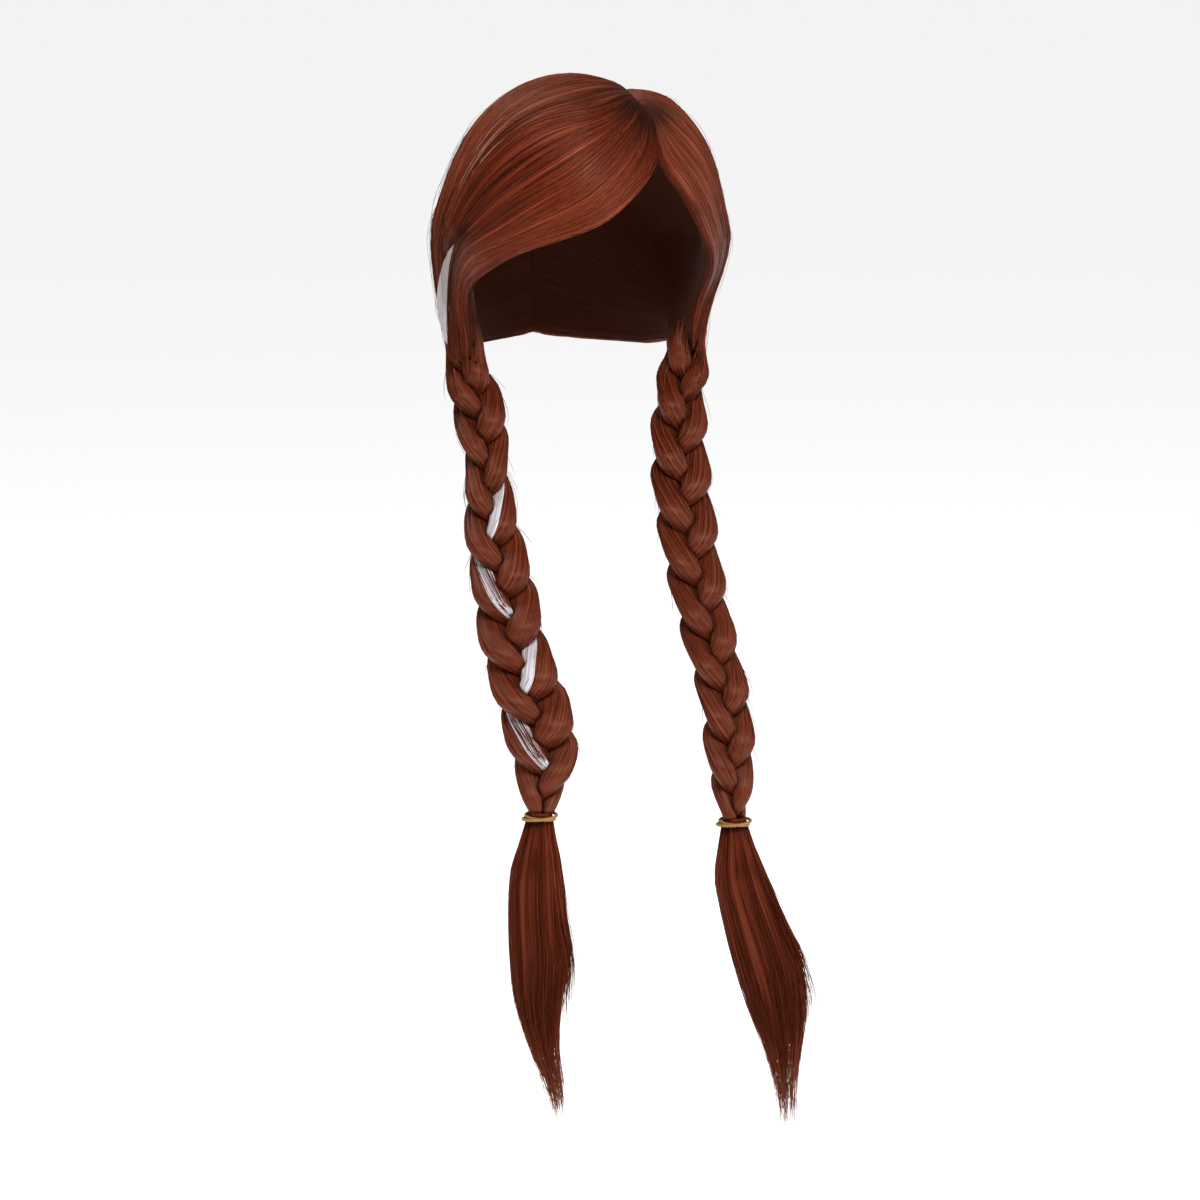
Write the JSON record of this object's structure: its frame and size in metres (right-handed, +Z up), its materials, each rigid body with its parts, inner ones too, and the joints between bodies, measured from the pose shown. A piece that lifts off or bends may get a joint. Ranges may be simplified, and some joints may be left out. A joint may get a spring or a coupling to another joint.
{
  "type": "pigtail wig",
  "caption": "Side-parted wig in its worn form: hollow head of hair with a swept fringe, gathered behind the ears into braids tied with elastic bands above loose tails.",
  "frame": {"origin": "the top of the hollow, where the crown of the head touches the hair", "axes": "+Z up, the face opening towards -Y, the wearer's right towards -X"},
  "size_m": [0.2093, 0.2338, 0.6451],
  "materials": {
    "auburn_hair": "silky fibre",
    "pale_hair": "silky fibre",
    "elastic": "woven elastic"
  },
  "bodies": {
    "root": {"fringe": "auburn_hair", "crown_right": "auburn_hair", "crown_left": "auburn_hair", "pale_lock": "pale_hair", "right_braid_strand_1": "auburn_hair", "right_braid_strand_2": "auburn_hair", "right_braid_strand_3": "auburn_hair", "right_braid_pale_lock": "pale_hair", "right_band": "elastic", "right_tail": "auburn_hair", "left_braid_strand_1": "auburn_hair", "left_braid_strand_2": "auburn_hair", "left_braid_strand_3": "auburn_hair", "left_band": "elastic", "left_tail": "auburn_hair"}
  },
  "joints": []
}
